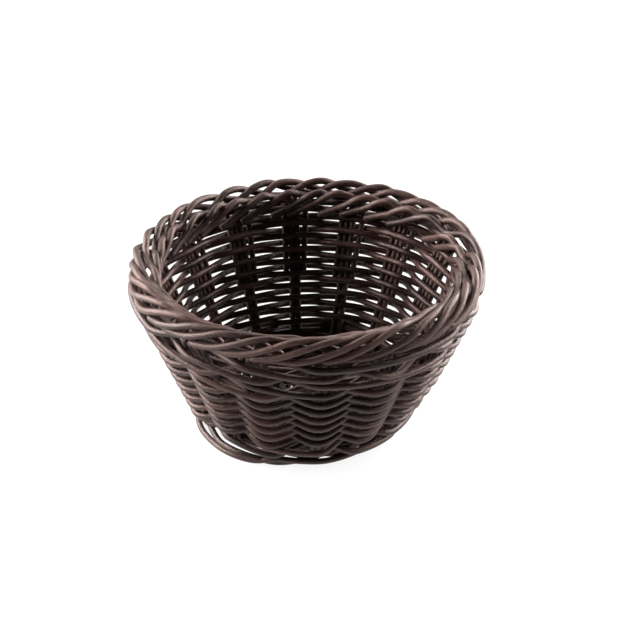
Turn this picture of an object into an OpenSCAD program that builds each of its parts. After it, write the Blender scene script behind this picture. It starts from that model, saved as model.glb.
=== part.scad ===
// Round fruit basket woven from plastic-rattan rods: a stick-and-weave base, paired upright stakes,
// plain randing between two twilled wales, extra liners in the upper wall and a rolled border
// made from the stakes' own tops. Z up, origin on the table under the middle of the base.

/* [Overall] */
// Height from the table to the top of the border
height = 104; // [103:0.5:106]
// Radius of the wall's middle surface at table level
base_r = 55; // [54.5:0.5:56]
// How much wider the wall's middle surface is at the wall top
flare = 39.3; // [38.5:0.1:40]
// Shape of the flare: 1 is a straight cone, less is a rounder bowl
flare_power = 0.85; // [0.8:0.01:0.9]

/* [Rods] */
// Diameter of every rod in the basket
rod_d = 3.6; // [3:0.1:3.6]
// Clearance left where one rod bears on another
rod_gap = 0.16; // [0.1:0.02:0.2]

/* [Weave] */
// Height of the lowest row of plain randing
randing_z = 21; // [20.8:0.1:21.4]
// Rise from one row to the next
row_rise = 3.46; // [3.44:0.01:3.5]
// Height at which the liners start
liner_z = 47; // [44:1:52]
// Gap at the wall top between the left liner and its stake
liner_gap = 2; // [0:0.25:2]

/* [Hidden] */
groups = 16;
step = 360 / groups;
rows = 16;
upper_wales = 4;
lower_wales = 3;
sides = 6;
rod_r = rod_d / 2;
pitch = rod_d + 0.2;
bear = rod_d + rod_gap;
wall_top_z = 87.5;
stake_foot_z = 8.6;
base_z = 8;
base_flat = 0.2;
land_z = 1.6;
brown = [0.16, 0.11, 0.10];
dark_brown = [0.12, 0.08, 0.07];
worn_brown = [0.22, 0.16, 0.15];

// Half of the stretch, in steps, where a weaver stays flat against its stakes.
narrow_flat = 0.125;
wide_flat = 0.25;

// A border strand past its stake: degrees around the rim, radius, depth below the border's top.
// It leans out, goes over the outer crest, dips between the rows, goes over the inner crest and tucks in.
border_route = [
    [6, 97.4, 14.2], [14, 98.2, 10.6], [23, 97.2, 5.4], [32, 94.4, 1.8], [39, 91, 3.6],
    [46, 88, 7.8], [53, 85.2, 6.8], [60, 82.6, 9.6], [68, 83.8, 15.5]
];

lower_wale_names = [for (i = [1:lower_wales]) str("lower_wale_", i)];
weaver_names = [for (i = [1:rows]) str("weaver_", i)];
upper_wale_names = [for (i = [1:upper_wales]) str("upper_wale_", i)];
stake_names = [for (i = [1:groups]) str("stake_pair_", i)];

// The wall's middle surface: radius and lean from vertical at a height.
function wall_r(z) = base_r + flare * pow(z / wall_top_z, flare_power);
function wall_lean(z) = atan(flare * flare_power / wall_top_z * pow(z / wall_top_z, flare_power - 1));

// A point at an angle round the basket, set off from the wall's middle surface, outward when positive.
function wall_point(angle, z, off) =
    let (r = wall_r(z) + off * cos(wall_lean(z)), h = z - off * sin(wall_lean(z)))
    [r * cos(angle), r * sin(angle), h];

// The same, moved sideways along the wall by a distance.
function side_point(angle, z, side) =
    let (r = wall_r(z))
    [r * cos(angle) - side * sin(angle), r * sin(angle) + side * cos(angle), z];

function unit(v) = v / norm(v);
function across(v, t) = unit(v - (v * t) * t);

// Two points per stake group: each weaver crosses a group at one side of it, then changes sides.
function woven_ring(z, flat, outside) = [
    for (k = [0:groups - 1]) for (s = [-1, 1])
        wall_point((k + s * flat) * step, z, bear * (outside[k % len(outside)] ? 1 : -1))
];

// The base's rings go over and under its sticks in the same way.
function base_ring(r, first) = [
    for (k = [0:groups - 1]) for (s = [-1, 1])
        let (a = (k + 0.5 + s * base_flat) * step, up = (k + first) % 2 == 0 ? 1 : -1)
        [r * cos(a), r * sin(a), base_z + up * bear]
];

// A round rod along a route, as one closed mesh. A closed route joins its end to its start.
module rod(route, closed = false, start_side = [0, 0, 1]) {
    n = len(route);
    ahead = [for (i = [0:n - 1]) closed ? route[(i + 1) % n] : route[min(i + 1, n - 1)]];
    behind = [for (i = [0:n - 1]) closed ? route[(i + n - 1) % n] : route[max(i - 1, 0)]];
    along = [for (i = [0:n - 1]) unit(ahead[i] - behind[i])];
    carried = [
        for (i = 0, u = across(start_side, along[0]); i < n;
            i = i + 1, u = i < n ? across(u, along[i]) : u) u
    ];
    side = closed ? [for (t = along) across([0, 0, 1], t)] : carried;
    points = [
        for (i = [0:n - 1]) for (k = [0:sides - 1])
            let (a = 360 * k / sides)
            route[i] + rod_r * (cos(a) * side[i] + sin(a) * cross(along[i], side[i]))
    ];
    spans = closed ? n : n - 1;
    skin = [
        for (i = [0:spans - 1]) for (k = [0:sides - 1])
            let (a = i * sides, b = (i + 1) % n * sides, m = (k + 1) % sides)
            each [[a + k, b + k, b + m], [a + k, b + m, a + m]]
    ];
    caps = closed ? [] : [
        [for (k = [0:sides - 1]) k],
        [for (k = [sides - 1:-1:0]) (n - 1) * sides + k]
    ];
    polyhedron(points, concat(skin, caps));
}

// Rods of the foot, cut level where they stand on the table.
module foot_rod(r, z) {
    color(brown) difference() {
        rotate_extrude($fn = 96) translate([r, z]) circle(rod_r, $fn = 24);
        translate([0, 0, -rod_d / 2]) cube([4 * r, 4 * r, rod_d], center = true);
    }
}

module foot_ring_outer() {
    foot_rod(60.3, land_z);
}

module foot_ring_inner() {
    foot_rod(56.5, land_z);
}

module foot_ring_upper() {
    foot_rod(60.6, land_z + rod_d + rod_gap);
}

// Four sticks side by side that fan out past the middle. The second set lies crosswise on the first.
module base_sticks(turn, z) {
    middle_r = 11;
    fan_r = 21;
    end_r = 57;
    color(dark_brown) for (k = [0:3]) {
        y = (k - 1.5) * pitch;
        a = (k - 1.5) * step;
        half = [
            [middle_r, y, z],
            [fan_r * cos(a), fan_r * sin(a), base_z],
            [end_r * cos(a), end_r * sin(a), base_z]
        ];
        mirrored = [for (i = [2:-1:0]) [-half[i].x, half[i].y, half[i].z]];
        rotate(turn) rod(concat(mirrored, half));
    }
}

module base_sticks_lower() {
    base_sticks(0, base_z - bear / 2);
}

module base_sticks_upper() {
    base_sticks(90, base_z + bear / 2);
}

// Four rings of the base's weave, the first at the given radius.
module base_weave(first_r, count) {
    ring_pitch = 4;
    color(dark_brown) for (i = [0:count - 1])
        rod(base_ring(first_r + i * ring_pitch, i), closed = true);
}

module base_weave_inner() {
    base_weave(25, 4);
}

module base_weave_outer() {
    base_weave(41, 4);
}

// Wales go outside two groups and inside two, each starting one group on from the last.
module wale(i, z, flat) {
    outside = [for (k = [0:3]) (k + i) % 4 < 2];
    color(brown) rod(woven_ring(z, flat, outside), closed = true);
}

module lower_wale(i) {
    wale(i, randing_z - (lower_wales + 1 - i) * row_rise, narrow_flat);
}

module upper_wale(i) {
    wale(i, randing_z + (rows + i - 1) * row_rise, wide_flat);
}

// Plain randing: in front of one group and behind the next, and the other way on the next row.
module weaver(i) {
    z = randing_z + (i - 1) * row_rise;
    flat = z < liner_z ? narrow_flat : wide_flat;
    color(brown) rod(woven_ring(z, flat, [i % 2 == 0, i % 2 == 1]), closed = true);
}

// Two stakes side by side from the base to the wall top, each rolled over into the border.
module stake_pair(k) {
    angle = (k - 1) * step;
    heights = [stake_foot_z, 14, 22, 32, 46, 62, 78];
    color(worn_brown) for (s = [-1, 1]) {
        upright = [for (z = heights) side_point(angle, z, s * pitch / 2)];
        root = side_point(angle, wall_top_z - 1, s * pitch / 2);
        over = [
            for (p = border_route)
                let (a = angle + s * step / 4 + p[0])
                [p[1] * cos(a), p[1] * sin(a), height - p[2]]
        ];
        rod(concat(upright, [root], over), start_side = [-sin(angle), cos(angle), 0]);
    }
}

// One liner per group in the upper wall, straight, from the randing to the wall top.
module liner_rods(top_side, foot_side) {
    color(dark_brown) for (k = [0:groups - 1]) {
        a = side_point(k * step, liner_z, foot_side);
        b = side_point(k * step, wall_top_z, top_side);
        tilt = b - a;
        translate(a) rotate([0, acos(tilt.z / norm(tilt)), atan2(tilt.y, tilt.x)])
            cylinder(r = rod_r, h = norm(tilt), $fn = 24);
    }
}

module liner_rods_left() {
    liner_rods(-1.5 * pitch - liner_gap, -1.5 * pitch);
}

module liner_rods_right() {
    liner_rods(1.5 * pitch, 1.5 * pitch);
}

foot_ring_outer();
foot_ring_inner();
foot_ring_upper();
base_sticks_lower();
base_sticks_upper();
base_weave_inner();
base_weave_outer();
liner_rods_left();
liner_rods_right();
for (i = [1:lower_wales]) lower_wale(i);
for (i = [1:rows]) weaver(i);
for (i = [1:upper_wales]) upper_wale(i);
for (i = [1:groups]) stake_pair(i);
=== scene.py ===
"""Looks of the woven fruit basket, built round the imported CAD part.

Rods are laid out in millimetres, in the CAD frame, and turned to metres when a mesh is made.
Angles are in degrees round +Z. "Outside" is away from the basket's middle.
"""

import math

import bpy
import numpy as np
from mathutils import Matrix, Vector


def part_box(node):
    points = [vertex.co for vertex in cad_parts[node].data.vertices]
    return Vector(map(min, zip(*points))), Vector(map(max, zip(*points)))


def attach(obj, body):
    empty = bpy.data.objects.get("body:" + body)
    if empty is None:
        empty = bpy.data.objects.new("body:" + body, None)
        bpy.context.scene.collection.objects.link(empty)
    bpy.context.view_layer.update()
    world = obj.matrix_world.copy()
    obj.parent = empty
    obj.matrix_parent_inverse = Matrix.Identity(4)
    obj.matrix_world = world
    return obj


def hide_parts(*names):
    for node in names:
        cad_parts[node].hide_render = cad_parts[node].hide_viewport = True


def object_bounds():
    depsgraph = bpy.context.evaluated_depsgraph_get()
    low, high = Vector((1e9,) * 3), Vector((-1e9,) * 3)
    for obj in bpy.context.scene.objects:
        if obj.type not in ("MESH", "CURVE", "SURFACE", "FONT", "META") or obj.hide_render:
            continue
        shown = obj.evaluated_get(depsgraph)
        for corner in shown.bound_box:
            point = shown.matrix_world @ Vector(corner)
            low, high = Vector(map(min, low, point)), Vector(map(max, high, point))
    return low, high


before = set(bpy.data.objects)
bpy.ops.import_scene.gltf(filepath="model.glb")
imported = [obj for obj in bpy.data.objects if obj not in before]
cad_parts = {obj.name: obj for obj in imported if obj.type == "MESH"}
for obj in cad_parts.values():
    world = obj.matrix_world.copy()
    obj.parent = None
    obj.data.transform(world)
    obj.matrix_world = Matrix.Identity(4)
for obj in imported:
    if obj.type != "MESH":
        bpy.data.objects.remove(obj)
cad_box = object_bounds()
rng = np.random.default_rng(11)

# ---------------------------------------------------------------- driving sizes, mm and degrees
MM = 0.001
GROUPS = 16
FRONT = 255.0
STEP = 360 / GROUPS
ROWS = 16
UPPER_WALES = 4
LOWER_WALES = 3
WALL_BASE_R = 55.0
WALL_FLARE = 39.3
WALL_POWER = 0.85
WALL_TOP_Z = 87.5
STAKE_D = 3.6
WEAVER_D = 3.75
WALE_D = 3.9
BACK_WALE_D = 4.4
BORDER_D = 4.3
FRONT_THINNER = 0.5
BASE_D = 3.5
BEAR = 3.9
BULGE = 1.1
HANG = 1.2
STAKE_PITCH = 3.6
BASE_Z = 8.0
SIDES = 12
PER_STEP = 12
# how far the hand-made basket is from a true round, as shares of its radius, and where (radians)
OVAL, OVAL_TURN = 0.006, 0.7
LOBES, LOBES_TURN = 0.004, 2.1
WAIST = 0.012
PINCH, PINCH_Z, PINCH_SPREAD = 0.008, 24.0, 14.0
# a pushed-in place low in the wall: its depth as a share of the radius, its side and its height
DENT, DENT_SIDE, DENT_HEIGHT = 0.050, 330.0, 20.0
FOOT_SHIFT = 2.6
RIM_WAVE, RIM_WAVE_TURN = 0.4, 1.0
# how much a rod's thickness (a share) and tone drift along it
THICKNESS_DRIFT, TONE_DRIFT = 0.012, 0.05
# a rod's cut end, as shares of its radius
CHAMFER, CHAMFER_R = 0.25, 0.72
GRAIN_LENGTH = 28.0
GRAIN_PLACES = 100
TOP_Z = cad_box[1].z / MM


def node_z(name):
    """Mid height of a CAD node."""
    low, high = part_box(name)
    return (low.z + high.z) / 2 / MM


# ---------------------------------------------------------------- the wall's middle surface
def wall_r(z):
    return WALL_BASE_R + WALL_FLARE * (np.maximum(z, 0.0) / WALL_TOP_Z) ** WALL_POWER


def wall_lean(z):
    share = np.maximum(z, 0.5) / WALL_TOP_Z
    return np.arctan(WALL_FLARE * WALL_POWER / WALL_TOP_Z * share ** (WALL_POWER - 1))


def polar(angle, r, z):
    a = np.radians(angle)
    angle, r, z = np.broadcast_arrays(a, r, z)
    return np.stack([r * np.cos(a), r * np.sin(a), z], -1)


def wall_point(angle, z, off):
    """A point off the wall's middle surface, outside where off is positive."""
    lean = wall_lean(z)
    return polar(angle, wall_r(z) + off * np.cos(lean), z - off * np.sin(lean))


def ease(t):
    t = np.clip(t, 0, 1)
    return (1 - np.cos(np.pi * t)) / 2


def spline(knots, count):
    """A smooth open curve through rows of knots, evenly spaced in knot number."""
    knots = np.asarray(knots, float)
    padded = np.vstack([2 * knots[0] - knots[1], knots, 2 * knots[-1] - knots[-2]])
    t = np.linspace(0, len(knots) - 1, count)
    i = np.minimum(t.astype(int), len(knots) - 2)
    f = (t - i)[:, None]
    p0, p1, p2, p3 = (padded[i + j] for j in range(4))
    return 0.5 * (
        2 * p1 + (p2 - p0) * f + (2 * p0 - 5 * p1 + 4 * p2 - p3) * f**2
        + (3 * p1 - p0 - 3 * p2 + p3) * f**3
    )


def wander(count, size, waves=4, closed=True):
    """A slow random drift of about the given size along a rod."""
    u = np.linspace(0, 1, count, endpoint=not closed)
    total = np.zeros(count)
    for n in range(1, waves + 1):
        total += rng.normal(0, size / n) * np.sin(2 * np.pi * (n * u + rng.random()))
    return total


def settle(points):
    """The hand-made lean of the basket: the foot sits a little to one side, the round isn't true."""
    x, y, z = points[:, 0], points[:, 1], points[:, 2]
    a = np.arctan2(y, x)
    share = np.clip(z / TOP_Z, 0, 1)
    swell = 1 + OVAL * np.cos(2 * a + OVAL_TURN) + LOBES * np.cos(3 * a + LOBES_TURN)
    swell = swell - WAIST * np.sin(np.pi * share) ** 2
    swell = swell - PINCH * np.exp(-((z - PINCH_Z) / PINCH_SPREAD) ** 2)
    facing_dent = np.maximum(np.cos(a - math.radians(DENT_SIDE)), 0)
    swell = swell - DENT * facing_dent**4 * np.exp(-(z / DENT_HEIGHT) ** 2)
    shift = (1 - share) ** 2
    lift = RIM_WAVE * np.sin(2 * a + RIM_WAVE_TURN) * z / TOP_Z
    return np.stack([x * swell - FOOT_SHIFT * shift, y * swell, z + lift], -1)


# ---------------------------------------------------------------- rods as meshes
def frames(points, closed):
    """Two vectors across the rod at each point, carried along without twist."""
    if closed:
        along = np.roll(points, -1, 0) - np.roll(points, 1, 0)
    else:
        along = np.gradient(points, axis=0)
    along /= np.linalg.norm(along, axis=1, keepdims=True)
    start = np.array([0, 0, 1.0]) if abs(along[0, 2]) < 0.8 else np.array([1.0, 0, 0])
    side = np.empty_like(points)
    s = start - along[0] * (start @ along[0])
    side[0] = s / np.linalg.norm(s)
    for i in range(1, len(points)):
        s = side[i - 1] - along[i] * (side[i - 1] @ along[i])
        side[i] = s / np.linalg.norm(s)
    other = np.cross(along, side)
    if closed:
        s = side[-1] - along[0] * (side[-1] @ along[0])
        twist = math.atan2(s @ other[0], s @ side[0])
        turn = -twist * np.arange(len(points)) / len(points)
        c, d = np.cos(turn)[:, None], np.sin(turn)[:, None]
        side, other = c * side + d * other, c * other - d * side
    return along, side, other


def rod(points, diameter, closed=False, tone=0.5, cut=0.0):
    """One rod: route, thickness along it, tone from 0 (dark) to 1 (light), and how pale its ends are."""
    points = settle(np.asarray(points, float))
    radius = diameter / 2 * (1 + wander(len(points), THICKNESS_DRIFT, 5, closed))
    return {"points": points, "radius": radius, "closed": closed, "tone": tone, "cut": cut}


def sweep(rods):
    """Vertices, quads and per-vertex values for a list of rods."""
    verts, faces, grain, tones, cuts = [], [], [], [], []
    first = 0
    turn = np.linspace(0, 2 * np.pi, SIDES, endpoint=False)
    for r in rods:
        p, radius, closed = r["points"], r["radius"], r["closed"]
        along, side, other = frames(p, closed)
        if not closed:
            # a short chamfer closes each end
            start = p[0] - along[0] * radius[0] * CHAMFER
            end = p[-1] + along[-1] * radius[-1] * CHAMFER
            p = np.vstack([start, p, end])
            side = np.vstack([side[0], side, side[-1]])
            other = np.vstack([other[0], other, other[-1]])
            radius = np.concatenate([[radius[0] * CHAMFER_R], radius, [radius[-1] * CHAMFER_R]])
        n = len(p)
        ring = side[:, None] * np.cos(turn)[None, :, None] + other[:, None] * np.sin(turn)[None, :, None]
        verts.append((p[:, None] + ring * radius[:, None, None]).reshape(-1, 3))
        run = np.concatenate([[0], np.cumsum(np.linalg.norm(np.diff(p, axis=0), axis=1))])
        if closed:
            # the grain runs out and back, so that it meets itself where the ring closes
            run = np.minimum(run, run[-1] - run)
        place = rng.random(3) * GRAIN_PLACES
        g = np.empty((n, SIDES, 3))
        g[..., :2] = np.stack([np.cos(turn), np.sin(turn)], -1)
        g[..., 2] = (run / GRAIN_LENGTH)[:, None]
        grain.append((g + place).reshape(-1, 3))
        tones.append(np.repeat(r["tone"] + wander(n, TONE_DRIFT, 6, closed), SIDES))
        c = np.zeros(n)
        if not closed:
            c[[0, -1]] = r["cut"]
        cuts.append(np.repeat(c, SIDES))
        spans = n if closed else n - 1
        i = np.arange(spans)[:, None] * SIDES
        j = (np.arange(spans)[:, None] + 1) % n * SIDES
        k = np.arange(SIDES)[None]
        m = (k + 1) % SIDES
        quads = np.stack([i + k, i + m, j + m, j + k], -1).reshape(-1, 4) + first
        faces.extend(quads.tolist())
        if not closed:
            faces.append([first + q for q in range(SIDES)][::-1])
            faces.append([first + (n - 1) * SIDES + q for q in range(SIDES)])
        first += n * SIDES
    return np.vstack(verts) * MM, faces, np.vstack(grain), np.concatenate(tones), np.concatenate(cuts)


def make_piece(name, rods, material, node):
    """A named piece made of rods, which stands for the given CAD node."""
    verts, faces, grain, tones, cuts = sweep(rods)
    mesh = bpy.data.meshes.new(name)
    mesh.from_pydata(verts.tolist(), [], faces)
    mesh.update()
    mesh.polygons.foreach_set("use_smooth", [len(f) == 4 for f in faces])
    mesh.attributes.new("grain", "FLOAT_VECTOR", "POINT").data.foreach_set("vector", grain.ravel())
    mesh.attributes.new("tone", "FLOAT", "POINT").data.foreach_set("value", tones)
    mesh.attributes.new("cut", "FLOAT", "POINT").data.foreach_set("value", cuts)
    mesh.materials.append(material)
    piece = bpy.data.objects.new(name, mesh)
    bpy.context.scene.collection.objects.link(piece)
    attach(piece, "root")
    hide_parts(node)


# ---------------------------------------------------------------- materials
STREAK_SCALE, BLOTCH_SCALE, SPECK_SCALE = 5.0, 45.0, 900.0
# how much each layer adds to a rod's tone, and the sums that give the dark and the light colour
STREAK_SHARE, BLOTCH_SHARE, TONE_SHARE, SPECK_SHARE = 0.9, 0.5, 0.7, 0.9
DARK_AT, LIGHT_AT = 0.7, 1.4
CUT_COLOUR = (0.32, 0.24, 0.21, 1)
WARM_SHINE = (1.0, 0.78, 0.73, 1)
PLASTIC_IOR = 1.5
RELIEF_DEPTH = 0.00025
# a streak's value where the surface is smoothest and roughest, and how far from its mean roughness
SMOOTH_STREAK, ROUGH_STREAK = 0.3, 0.7
SMOOTHER, ROUGHER = 0.07, 0.10


def rod_material(name, dark, light, roughness, bump):
    """Round extruded plastic cord: fine lengthwise streaks, slow blotches, tone per rod, satin surface."""
    material = bpy.data.materials.new(name)
    material.use_nodes = True
    nodes, links = material.node_tree.nodes, material.node_tree.links
    nodes.clear()
    out = nodes.new("ShaderNodeOutputMaterial")
    shader = nodes.new("ShaderNodeBsdfPrincipled")
    links.new(shader.outputs["BSDF"], out.inputs["Surface"])

    def attribute(source):
        node = nodes.new("ShaderNodeAttribute")
        node.attribute_name = source
        return node

    def noise(scale, detail, vector):
        node = nodes.new("ShaderNodeTexNoise")
        node.inputs["Scale"].default_value = scale
        node.inputs["Detail"].default_value = detail
        links.new(vector, node.inputs["Vector"])
        return node

    place = nodes.new("ShaderNodeTexCoord").outputs["Object"]
    streak = noise(STREAK_SCALE, 5.0, attribute("grain").outputs["Vector"])
    streak.inputs["Roughness"].default_value = 0.62
    blotch = noise(BLOTCH_SCALE, 3.0, place)
    speck = noise(SPECK_SCALE, 2.0, place)

    def blend(kind, a, b):
        node = nodes.new("ShaderNodeMath")
        node.operation = kind
        for socket, value in zip(node.inputs, (a, b)):
            if isinstance(value, (int, float)):
                socket.default_value = value
            else:
                links.new(value, socket)
        return node.outputs[0]

    mixed = blend("MULTIPLY", streak.outputs["Fac"], STREAK_SHARE)
    mixed = blend("ADD", mixed, blend("MULTIPLY", blotch.outputs["Fac"], BLOTCH_SHARE))
    mixed = blend("ADD", mixed, blend("MULTIPLY", attribute("tone").outputs["Fac"], TONE_SHARE))
    middled = blend("SUBTRACT", speck.outputs["Fac"], 0.5)
    mixed = blend("ADD", mixed, blend("MULTIPLY", middled, SPECK_SHARE))
    spread = nodes.new("ShaderNodeMapRange")
    spread.inputs["From Min"].default_value = DARK_AT
    spread.inputs["From Max"].default_value = LIGHT_AT
    links.new(mixed, spread.inputs["Value"])
    ramp = nodes.new("ShaderNodeValToRGB")
    ramp.color_ramp.elements[0].color = (*dark, 1)
    ramp.color_ramp.elements[1].color = (*light, 1)
    links.new(spread.outputs["Result"], ramp.inputs["Fac"])

    pale = nodes.new("ShaderNodeMix")
    pale.data_type = "RGBA"
    pale.inputs["B"].default_value = CUT_COLOUR
    links.new(attribute("cut").outputs["Fac"], pale.inputs["Factor"])
    links.new(ramp.outputs["Color"], pale.inputs["A"])
    links.new(pale.outputs["Result"], shader.inputs["Base Color"])

    rough = nodes.new("ShaderNodeMapRange")
    rough.inputs["From Min"].default_value = SMOOTH_STREAK
    rough.inputs["From Max"].default_value = ROUGH_STREAK
    rough.inputs["To Min"].default_value = roughness - SMOOTHER
    rough.inputs["To Max"].default_value = roughness + ROUGHER
    links.new(streak.outputs["Fac"], rough.inputs["Value"])
    links.new(rough.outputs["Result"], shader.inputs["Roughness"])
    shader.inputs["IOR"].default_value = PLASTIC_IOR
    shader.inputs["Specular Tint"].default_value = WARM_SHINE

    relief = nodes.new("ShaderNodeBump")
    relief.inputs["Strength"].default_value = bump
    relief.inputs["Distance"].default_value = RELIEF_DEPTH
    links.new(blend("ADD", streak.outputs["Fac"], speck.outputs["Fac"]), relief.inputs["Height"])
    links.new(relief.outputs["Normal"], shader.inputs["Normal"])
    return material


woven_mat = rod_material("woven_rod", (0.004, 0.0020, 0.0017), (0.046, 0.0225, 0.0193), 0.36, 0.9)
# a darker copy of the rod colour for the liners and the base inside the basket: painted shade where the
# inside lies in shadow
shaded_inner_mat = rod_material("inner_rod", (0.007, 0.0038, 0.0033), (0.034, 0.0195, 0.0166), 0.55, 0.6)
# a lighter copy of the rod colour for the stakes and the border: painted light standing for the side-lit rim
lit_stake_mat = rod_material("stake_rod", (0.007, 0.0036, 0.0031), (0.070, 0.0385, 0.0332), 0.43, 0.9)


MIDDLE_TONE, TONE_SPREAD = 0.5, 0.28
# the inside parts' tone is scaled down by this share: painted shade inside the basket
INNER_SHADE_TONE = 0.6


def tone():
    return float(np.clip(rng.normal(MIDDLE_TONE, TONE_SPREAD), 0, 1))


# ---------------------------------------------------------------- weavers and wales
def crossing(signs, flat):
    """Which side of the stakes a weaver is on, from -1 to 1, PER_STEP samples a group."""
    u = np.arange(GROUPS * PER_STEP) / PER_STEP
    k = u.astype(int)
    f = u - k
    here, then = signs[k % GROUPS], signs[(k + 1) % GROUPS]
    return here + (then - here) * ease((f - flat) / (1 - 2 * flat))


def stroke(signs):
    """How far down its stroke a rod is: 1 where it comes out, -1 where it goes in, and back inside."""
    starts = [k for k in range(GROUPS) if signs[k] != signs[k - 1]]
    u = np.arange(GROUPS * PER_STEP) / PER_STEP
    lift = np.zeros(len(u))
    for s, e in zip(starts, starts[1:] + [starts[0] + GROUPS]):
        v = (u - (s - 0.5)) % GROUPS
        inside = v < e - s
        lift[inside] = signs[s] * np.cos(np.pi * v[inside] / (e - s))
    return lift


ANGLES = np.arange(GROUPS * PER_STEP) / PER_STEP * STEP
SLOW_DRIFT, QUICK_DRIFT = 0.35, 0.3
BACK_BULGE = 0.5
LOOSENESS = 0.05
ROW_DRIFT = 0.10
TUCK_LIFT = 0.6


def drift(z):
    """The rows' shared unevenness in height, so that neighbours stay nested."""
    a = np.radians(ANGLES)
    return SLOW_DRIFT * np.sin(2 * a + 0.03 * z) + QUICK_DRIFT * np.sin(5 * a + 0.05 * z + 1.3)


def weight(low, high, middle=FRONT, spread=180.0):
    """A value that rises from low to high towards one side of the basket."""
    away = np.abs((ANGLES - middle + 180) % 360 - 180)
    return low + (high - low) * ease(1 - away / spread)


def woven(z, signs, flat, slant, tilt=0.0, tuck=0.0):
    """A closed weaver: side to side through the stakes. Outside the wall its strokes slant, bulge and hang.

    Tilt raises the inside strokes and lowers the outside ones. Tuck draws the whole rod in and up.
    """
    side = crossing(signs, weight(flat, 0.0))
    out = np.maximum(side, 0) ** 2
    slack = 1 + LOOSENESS * np.abs(rng.normal(size=GROUPS + 1))
    loose = np.interp(ANGLES, np.arange(GROUPS + 1) * STEP, slack)
    off = side * BEAR * loose + weight(BACK_BULGE, BULGE) * out - tuck
    hang = weight(0.0, HANG) * out + tilt * side
    height = z + drift(z) + slant * stroke(signs) * (1 + side) / 2 - hang + TUCK_LIFT * tuck
    return wall_point(ANGLES, height + wander(len(ANGLES), ROW_DRIFT, 9), off)


NARROW_FLAT, WIDE_FLAT = 0.08, 0.20
WIDENS_FROM, WIDENS_OVER = 40.0, 20.0


def flat_at(z):
    """Half of the stretch, in steps, where a weaver lies flat: it's wider once the liners start."""
    return NARROW_FLAT + (WIDE_FLAT - NARROW_FLAT) * float(ease((z - WIDENS_FROM) / WIDENS_OVER))


TWILL_ROWS = 3
TWILL_FROM, TWILL_TO = 8, 13
TWILL_SLANT = 3.6
ROW_TILT = 0.25
UPPER_WALE_TILT, LOWER_WALE_TILT = 0.75, 0.2


def plain(i):
    """Which side of each group the rod of row i passes: in front of one, behind the next."""
    return np.array([1.0 if (k + i) % 2 == 0 else -1.0 for k in range(GROUPS)])


def front_twill(i):
    """The same, but in front of two groups and behind two along the front."""
    signs = plain(i)
    for k in range(TWILL_FROM, TWILL_TO + 1):
        signs[k] = 1.0 if (k - i) % 4 < 2 else -1.0
    return signs


for i in range(1, ROWS + 1):
    z = node_z(f"weaver_{i}")
    twilled = i > ROWS - TWILL_ROWS
    signs = front_twill(i) if twilled else plain(i)
    slant = weight(0.2, TWILL_SLANT) if twilled else weight(0.2, 0.4)
    tilt = max(ROW_TILT * (i - ROWS + TWILL_ROWS), 0)
    route = woven(z, signs, flat_at(z), slant, weight(tilt, 0.0))
    thickness = weight(WEAVER_D + 0.4 * tilt, WEAVER_D)
    ring = rod(route, thickness, True, tone())
    make_piece(f"weaver_rod_{i}", [ring], woven_mat, f"weaver_{i}")

for i in range(1, UPPER_WALES + 1):
    signs = front_twill(i)
    slant = weight(0.0, TWILL_SLANT if i < UPPER_WALES else TWILL_SLANT / 2)
    z = node_z(f"upper_wale_{i}") + 0.2 * (i - 2) + weight(0.3 * i, 0.0)
    route = woven(z, signs, 0.15, slant, weight(UPPER_WALE_TILT, 0.0))
    ring = rod(route, weight(BACK_WALE_D, WALE_D), True, tone())
    make_piece(f"upper_wale_rod_{i}", [ring], woven_mat, f"upper_wale_{i}")


# where the lowest rods are tucked in, beside the loose strands of the foot, and by how much
LOOSE_SIDE, LOOSE_SPREAD, LOOSE_TUCK = 200.0, 55.0, 3.0
LIFTED_FROM, LIFTED_TO = 7, 10
for i in range(1, LOWER_WALES + 1):
    signs = np.array([1.0 if (k - i) % 4 < 2 else -1.0 for k in range(GROUPS)])
    for k in range(LIFTED_FROM, LIFTED_TO + 1):
        signs[k] = 1.0 if (k - i) % 2 == 0 else -1.0
    z = node_z(f"lower_wale_{i}") + weight(0.25 * (LOWER_WALES + 1 - i), 0.4 * (i - LOWER_WALES))
    tuck = weight(0.0, LOOSE_TUCK, LOOSE_SIDE, LOOSE_SPREAD) * (LOWER_WALES + 1 - i) / LOWER_WALES
    route = woven(z, signs, 0.1, weight(0.0, 0.8 * i), weight(LOWER_WALE_TILT, 0.0), tuck)
    ring = rod(route, weight(BACK_WALE_D, WALE_D), True, tone())
    make_piece(f"lower_wale_rod_{i}", [ring], woven_mat, f"lower_wale_{i}")

# ---------------------------------------------------------------- stakes and the border
# degrees past the strand's own place, radius, height: hook, outer crest, dip, inner crest, tuck.
# At the back the strands dive between the crests, at the front they lie smoother.
BACK_ROUTE = np.array([
    [-1, 94, 86], [0, 94.5, 89], [3, 97, 91], [8, 98.5, 90.5], [15, 98.5, 93], [22, 98, 97.5],
    [28, 96, 101.5], [34, 93.5, 101.5], [39, 91.5, 98], [44, 89.5, 95], [49, 87.5, 97], [53, 86, 99],
    [58, 84, 96.5], [62, 84, 93], [67, 84.5, 89], [73, 85, 85],
])
FRONT_ROUTE = np.array([
    [-1, 94, 86], [0, 94.5, 88], [3, 96, 89.5], [8, 98, 90.5], [15, 98.5, 93], [22, 98, 97],
    [28, 96, 100], [34, 94, 101], [39, 91.5, 100], [44, 89, 99], [49, 87, 98], [53, 86, 97],
    [58, 85.5, 95], [62, 85.5, 93], [66, 85.5, 90.5], [70, 86, 88],
])
STAKE_HEIGHTS = np.array([8.6, 14, 22, 32, 44, 56, 68, 80])
STAKE_TOP_R = 94
STAKE_SAMPLES = 156
# samples between which a stake thickens into its border strand
THICKENS = 55, 75


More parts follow.
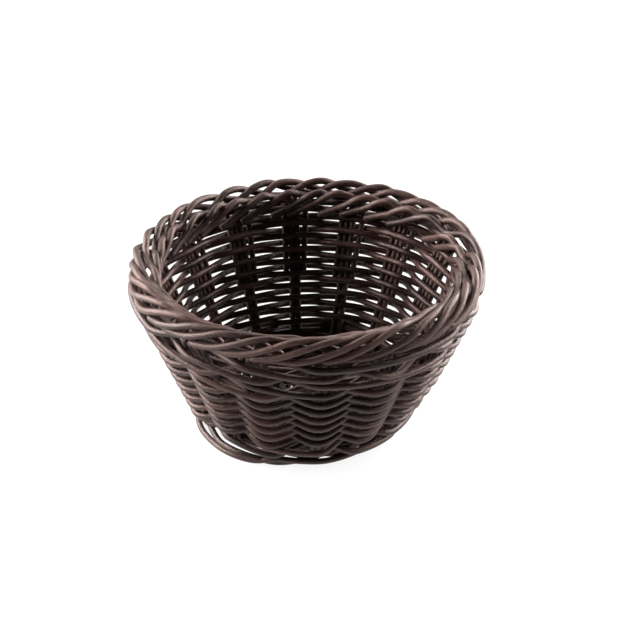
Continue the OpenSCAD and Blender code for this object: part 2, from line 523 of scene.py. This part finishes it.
def stake(group, side):
    """One stake from the base up the wall, rolled over into the border."""
    angle = (group - 1) * STEP
    sway = wander(len(STAKE_HEIGHTS), 0.15, 2, False)
    upright = [
        [angle + math.degrees((side * STAKE_PITCH / 2 + s) / wall_r(z)), wall_r(z), z]
        for z, s in zip(STAKE_HEIGHTS, sway)
    ]
    facing = (1 + math.cos(math.radians(angle + 40 - FRONT))) / 2
    route = BACK_ROUTE + (FRONT_ROUTE - BACK_ROUTE) * float(ease(1.6 * facing - 0.5))
    own = angle + side * (STEP / 4 + rng.normal(0, 0.9))
    stretch = 1 + rng.normal(0, 0.03)
    root = angle + math.degrees(side * STAKE_PITCH / 2 / STAKE_TOP_R)
    hold = np.clip(route[:, 0] / 8, 0, 1)
    route[:, 0] = root + (own - root) * hold + route[:, 0] * stretch
    route[2:, 1] += rng.normal(0, 0.3) + rng.normal(0, 0.2, len(route) - 2)
    route[2:, 2] += rng.normal(0, 0.25) + rng.normal(0, 0.25, len(route) - 2)
    line = spline(np.vstack([upright, route]), STAKE_SAMPLES)
    return polar(line[:, 0], line[:, 1], line[:, 2]), BORDER_D - FRONT_THINNER * facing


# the stakes and the border take the lighter colour: painted light of the lit rim
for k in range(1, GROUPS + 1):
    pair = []
    for side in (-1, 1):
        line, border_d = stake(k, side)
        thickness = np.interp(np.arange(len(line)), THICKENS, [STAKE_D, border_d])
        pair.append(rod(line, thickness, False, tone(), 0.8))
    make_piece(f"stake_rods_{k}", pair, lit_stake_mat, f"stake_pair_{k}")

# ---------------------------------------------------------------- liners
LINER_LOW, LINER_HIGH = 46.0, 87.5


def liner(group, side):
    angle = (group - 1) * STEP
    z = np.linspace(LINER_LOW + rng.normal(0, 2), LINER_HIGH, 24)
    gap = 2.2 * ease((z - LINER_LOW) / 40) if side < 0 else 0.0
    offset = side * (1.5 * STAKE_PITCH + gap)
    r = wall_r(z)
    return polar(angle + np.degrees(offset / r), r, z)


# the liners take the darker inside colour and tone: painted shade
for side, name in ((-1, "left"), (1, "right")):
    rods = [rod(liner(k, side), STAKE_D, False, tone() * INNER_SHADE_TONE, 0.6) for k in range(1, GROUPS + 1)]
    make_piece(f"liners_{name}", rods, shaded_inner_mat, f"liner_rods_{name}")

# ---------------------------------------------------------------- foot
FOOT_R, FOOT_Z, FOOT_ROPE, FOOT_D = 58.9, 4.0, 1.8, 3.5
FOOT_TURNS = 8
# Angle, radius and height of each strand where it leaves the rope at the front left:
# the outer and inner ones hang loose there, the third is tucked in.
OUTER_LOOP = [
    [172, 60, 6], [182, 62.5, 3.5], [194, 64, 2], [208, 65, 2], [224, 66, 2], [238, 65, 2],
    [250, 64, 5], [262, 62, 3.5], [276, 61, 2], [294, 60, 2.5],
]
INNER_LOOP = [
    [184, 59, 7], [196, 60, 6.5], [208, 62.5, 5.5], [218, 65.5, 5.5], [230, 66.5, 5.5],
    [240, 65, 4], [250, 62.5, 2], [264, 59, 2.5],
]
TUCKED_LOOP = [
    [176, 58.4, 6.6], [190, 57.6, 7.0], [205, 57.2, 7.0], [220, 57.2, 7.6], [234, 57.2, 7.6],
    [248, 57.6, 7.0], [262, 58.5, 5.5], [278, 58.5, 5.5], [294, 58, 6], [308, 58.4, 5.4],
]


def foot_rod(phase, loop):
    """A strand of the foot's rope. On one side it follows its own loop instead."""
    a = np.linspace(0, 360, 320, endpoint=False)
    turn = np.radians(a * FOOT_TURNS + phase)
    r = FOOT_R + FOOT_ROPE * np.cos(turn) + wander(len(a), 0.2, 6)
    z = FOOT_Z + FOOT_ROPE * np.sin(turn) + wander(len(a), 0.15, 6)
    line = spline(loop, 80)
    held = ease((a - loop[0][0] + 14) / 14) * (1 - ease((a - loop[-1][0]) / 14))
    r += (np.interp(a, line[:, 0], line[:, 1]) - r) * held
    z += (np.interp(a, line[:, 0], line[:, 2]) - z) * held
    return polar(a, r, np.maximum(z, FOOT_D / 2))


for name, phase, loop in (("outer", 0, OUTER_LOOP), ("inner", 120, INNER_LOOP), ("upper", 240, TUCKED_LOOP)):
    ring = rod(foot_rod(phase, loop), FOOT_D, True, tone())
    make_piece(f"foot_rod_{name}", [ring], woven_mat, f"foot_ring_{name}")


# ---------------------------------------------------------------- base
def base_stick(k, turn, z):
    """One stick through the middle of the base, fanning out past the crossing."""
    y = (k - 1.5) * 3.8
    a = math.radians((k - 1.5) * STEP)
    half = [[0, y, z], [11, y, z], [21 * math.cos(a), 21 * math.sin(a), BASE_Z],
            [38 * math.cos(a), 38 * math.sin(a), BASE_Z], [54.6 * math.cos(a), 54.6 * math.sin(a), BASE_Z]]
    knots = np.array([[-p[0], p[1], p[2]] for p in half[:0:-1]] + half)
    line = spline(knots, 70)
    c, s = math.cos(turn), math.sin(turn)
    return np.stack([line[:, 0] * c - line[:, 1] * s, line[:, 0] * s + line[:, 1] * c, line[:, 2]], -1)


# the base sticks take the darker inside colour and tone: painted shade
for name, turn, lift in (("lower", 0, -1.85), ("upper", math.pi / 2, 1.85)):
    rods = [rod(base_stick(k, turn, BASE_Z + lift), BASE_D, False, tone() * INNER_SHADE_TONE) for k in range(4)]
    make_piece(f"base_stick_rods_{name}", rods, shaded_inner_mat, f"base_sticks_{name}")


def base_ring(r, first):
    signs = np.array([1.0 if (k + first) % 2 == 0 else -1.0 for k in range(GROUPS)])
    up = crossing(signs, 0.1)
    return polar(ANGLES + STEP / 2, r + wander(len(ANGLES), 0.15, 5), BASE_Z + up * (BASE_D + 0.1))


RING_PITCH = 3.5
ring_rs = np.arange(18.2, 54, RING_PITCH)
middle = len(ring_rs) // 2
EDGE_RING_R, EDGE_RING_Z = 57.3, 9.6
# the base rings take the darker inside colour and tone: painted shade
for name, chosen in (("inner", ring_rs[:middle]), ("outer", ring_rs[middle:])):
    places = [int(round((r - ring_rs[0]) / RING_PITCH)) for r in chosen]
    rods = [rod(base_ring(r, p), BASE_D, True, tone() * INNER_SHADE_TONE) for r, p in zip(chosen, places)]
    if name == "outer":
        rods.append(rod(polar(ANGLES, EDGE_RING_R, EDGE_RING_Z), BASE_D, True, tone() * INNER_SHADE_TONE))
    make_piece(f"base_weave_rods_{name}", rods, shaded_inner_mat, f"base_weave_{name}")


# ---------------------------------------------------------------- stage, lights, camera
def plain_material(name, colour, roughness, glow):
    material = bpy.data.materials.new(name)
    material.use_nodes = True
    shader = material.node_tree.nodes["Principled BSDF"]
    shader.inputs["Base Color"].default_value = (*colour, 1)
    shader.inputs["Roughness"].default_value = roughness
    shader.inputs["Emission Color"].default_value = (1, 1, 1, 1)
    shader.inputs["Emission Strength"].default_value = glow
    return material


floor_mesh = bpy.data.meshes.new("floor")
half_side = 6.0
floor_mesh.from_pydata([(-half_side, -half_side, 0), (half_side, -half_side, 0), (half_side, half_side, 0),
                        (-half_side, half_side, 0)], [], [(0, 1, 2, 3)])
floor = bpy.data.objects.new("floor", floor_mesh)
floor_mesh.materials.append(plain_material("floor_white", (0.10, 0.10, 0.10), 0.9, 0.90))
bpy.context.scene.collection.objects.link(floor)

world = bpy.data.worlds.new("studio")
world.use_nodes = True
world.node_tree.nodes["Background"].inputs["Color"].default_value = (1, 1, 1, 1)
world.node_tree.nodes["Background"].inputs["Strength"].default_value = 0.035
bpy.context.scene.world = world


def soft_light(name, place, size, power):
    light = bpy.data.lights.new(name, "AREA")
    light.shape = "RECTANGLE"
    light.size, light.size_y = size
    light.energy = power
    light.color = (1.0, 0.93, 0.90)
    lamp = bpy.data.objects.new(name, light)
    lamp.location = place
    bpy.context.scene.collection.objects.link(lamp)
    target = bpy.data.objects.new(name + "_aim", None)
    target.location = (0, 0, TOP_Z * MM / 2)
    bpy.context.scene.collection.objects.link(target)
    track = lamp.constraints.new("TRACK_TO")
    track.target = target
    track.track_axis = "TRACK_NEGATIVE_Z"
    track.up_axis = "UP_Y"


soft_light("side_left", (-1.0, 0.36, 0.50), (1.3, 0.9), 60)
soft_light("side_right", (1.0, 0.46, 0.44), (1.3, 0.9), 50)
soft_light("top_back", (0.0, 0.9, 0.8), (0.9, 0.4), 6)

CAMERA_AZIMUTH = -4.87
CAMERA_ELEVATION = 30.75
CAMERA_ROLL = -0.9
CAMERA_DISTANCE = 1.059
SENSOR, LENS = 36.0, 104.47
SHIFT_X, SHIFT_Y = 0.0130, 0.0236
camera_data = bpy.data.cameras.new("camera")
camera_data.sensor_width = SENSOR
camera_data.lens = LENS
camera_data.shift_x = SHIFT_X
camera_data.shift_y = SHIFT_Y
camera = bpy.data.objects.new("camera", camera_data)
azimuth, elevation = math.radians(CAMERA_AZIMUTH - 90), math.radians(CAMERA_ELEVATION)
aim = np.array([0, 0, TOP_Z * MM / 2])
level = math.cos(elevation)
away = np.array([level * math.cos(azimuth), level * math.sin(azimuth), math.sin(elevation)])
camera.location = aim + away * CAMERA_DISTANCE
camera.rotation_mode = "XYZ"
camera.rotation_euler = (math.pi / 2 - elevation, 0, math.radians(CAMERA_AZIMUTH))
camera.rotation_euler.rotate_axis("Z", math.radians(CAMERA_ROLL))
bpy.context.scene.collection.objects.link(camera)
bpy.context.scene.camera = camera
bpy.context.scene.view_settings.view_transform = "Standard"
